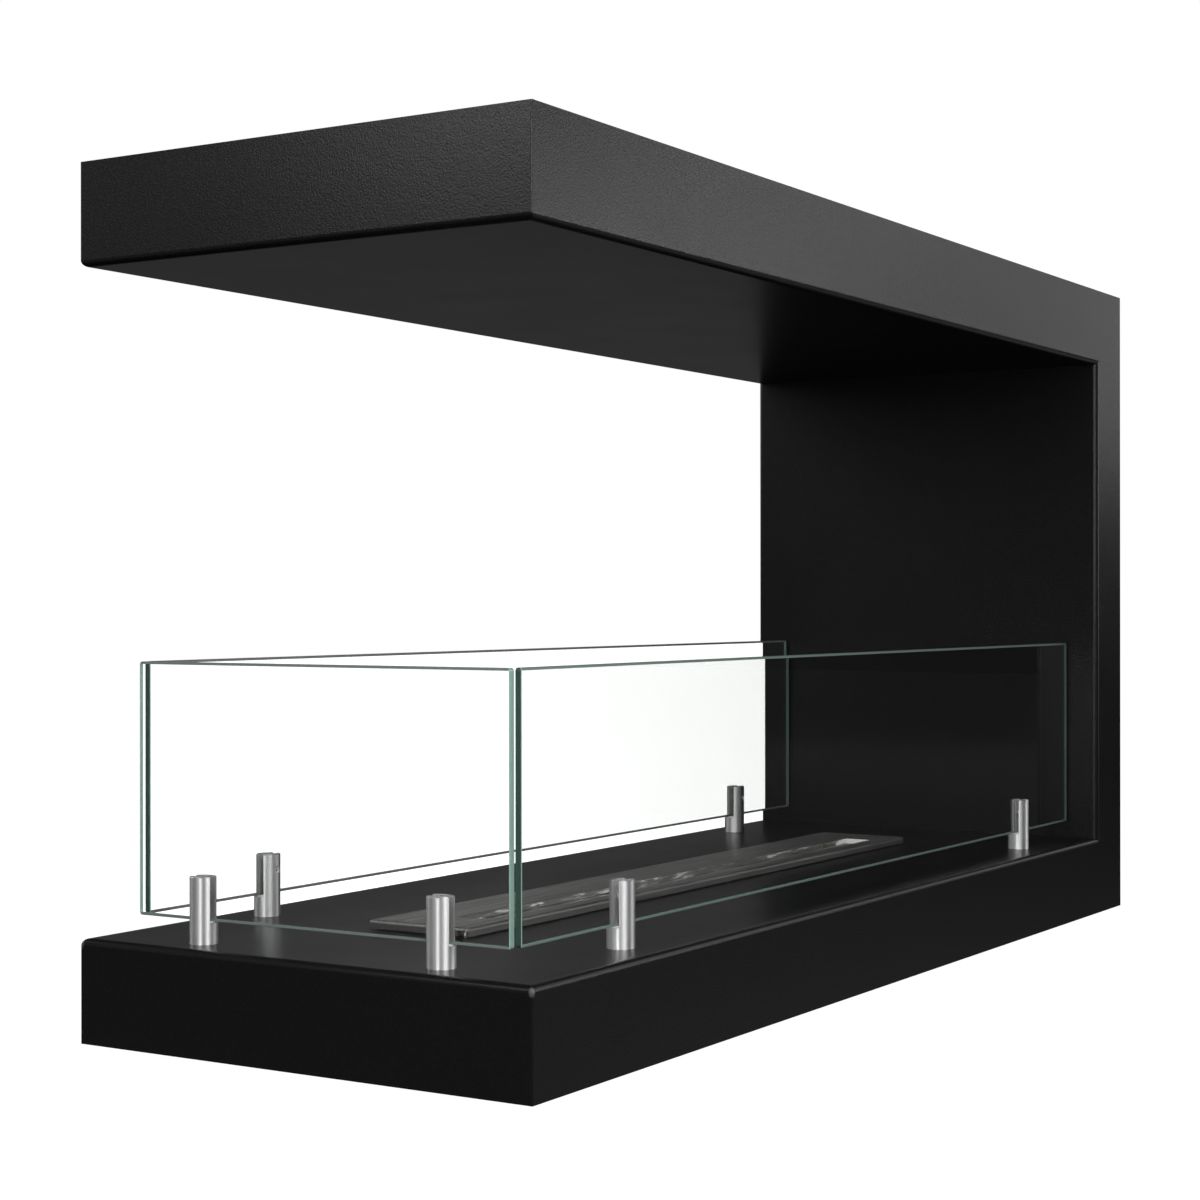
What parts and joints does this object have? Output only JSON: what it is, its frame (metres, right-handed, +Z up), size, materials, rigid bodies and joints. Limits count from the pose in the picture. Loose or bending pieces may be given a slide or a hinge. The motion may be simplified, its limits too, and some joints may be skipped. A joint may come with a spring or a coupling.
{
  "type": "bioethanol fireplace",
  "caption": "C-shaped bioethanol fireplace with an open front, end and rear, a slot burner in its base and clear glass panes held in slotted posts.",
  "frame": {"origin": "on the floor, under the middle of the housing", "axes": "+X along the length, towards the upright; +Y towards the rear; +Z up"},
  "size_m": [1, 0.35, 0.573],
  "materials": {
    "black_powder_coat": "fine-textured satin-matt powder coat",
    "black_zinc_screws": "black zinc",
    "zinc_plated_steel": "zinc plated",
    "turned_stainless": "fine turned, satin",
    "bright_stainless": "cold rolled, bright",
    "burner_plate_steel": "brushed, darkened",
    "clear_glass": "clear float, ground edges",
    "ceramic_fibre": "loose white fibre",
    "rubber": "matt",
    "nylon": "natural"
  },
  "bodies": {
    "housing": {"base_shell": "black_powder_coat", "upright_shell": "black_powder_coat", "canopy_shell": "black_powder_coat", "canopy_top_plate": "black_powder_coat", "back_plate": "black_powder_coat", "base_bottom_plate": "black_powder_coat", "back_plate_screws": "black_zinc_screws", "bottom_plate_screws": "black_zinc_screws", "back_plate_tabs": "black_powder_coat", "bottom_plate_tabs": "black_powder_coat", "corner_doublers": "black_powder_coat", "canopy_stiffener": "black_powder_coat", "burner_well": "black_powder_coat", "wall_inserts": "zinc_plated_steel", "rubber_feet": "rubber", "post_front_left": "turned_stainless", "post_front_right": "turned_stainless", "post_rear_left": "turned_stainless", "post_rear_right": "turned_stainless", "post_end_front": "turned_stainless", "post_end_rear": "turned_stainless", "post_bolts": "zinc_plated_steel", "post_washers": "zinc_plated_steel", "clamp_screws": "turned_stainless", "clamp_pads": "nylon", "glass_seats": "nylon"},
    "burner": {"burner_top_plate": "burner_plate_steel", "slot_collar": "bright_stainless", "burner_tank": "bright_stainless", "shutter_guides": "bright_stainless", "ceramic_wool": "ceramic_fibre", "burner_pads": "rubber"},
    "shutter": {"shutter_plate": "bright_stainless", "shutter_tab": "bright_stainless"},
    "front_pane": {"front_glass": "clear_glass"},
    "rear_pane": {"rear_glass": "clear_glass"},
    "end_pane": {"end_glass": "clear_glass"}
  },
  "joints": [
    {"name": "burner_lift", "type": "slide", "parent": "housing", "child": "burner", "axis": [0, 0, 1], "range_m": [0, 0.245]},
    {"name": "shutter_slide", "type": "slide", "parent": "burner", "child": "shutter", "axis": [0, -1, 0], "range_m": [0, 0.0202]},
    {"name": "front_glass_lift", "type": "slide", "parent": "housing", "child": "front_pane", "axis": [0, 0, 1], "range_m": [0, 0.04]},
    {"name": "rear_glass_lift", "type": "slide", "parent": "housing", "child": "rear_pane", "axis": [0, 0, 1], "range_m": [0, 0.04]},
    {"name": "end_glass_lift", "type": "slide", "parent": "housing", "child": "end_pane", "axis": [0, 0, 1], "range_m": [0, 0.04]}
  ]
}
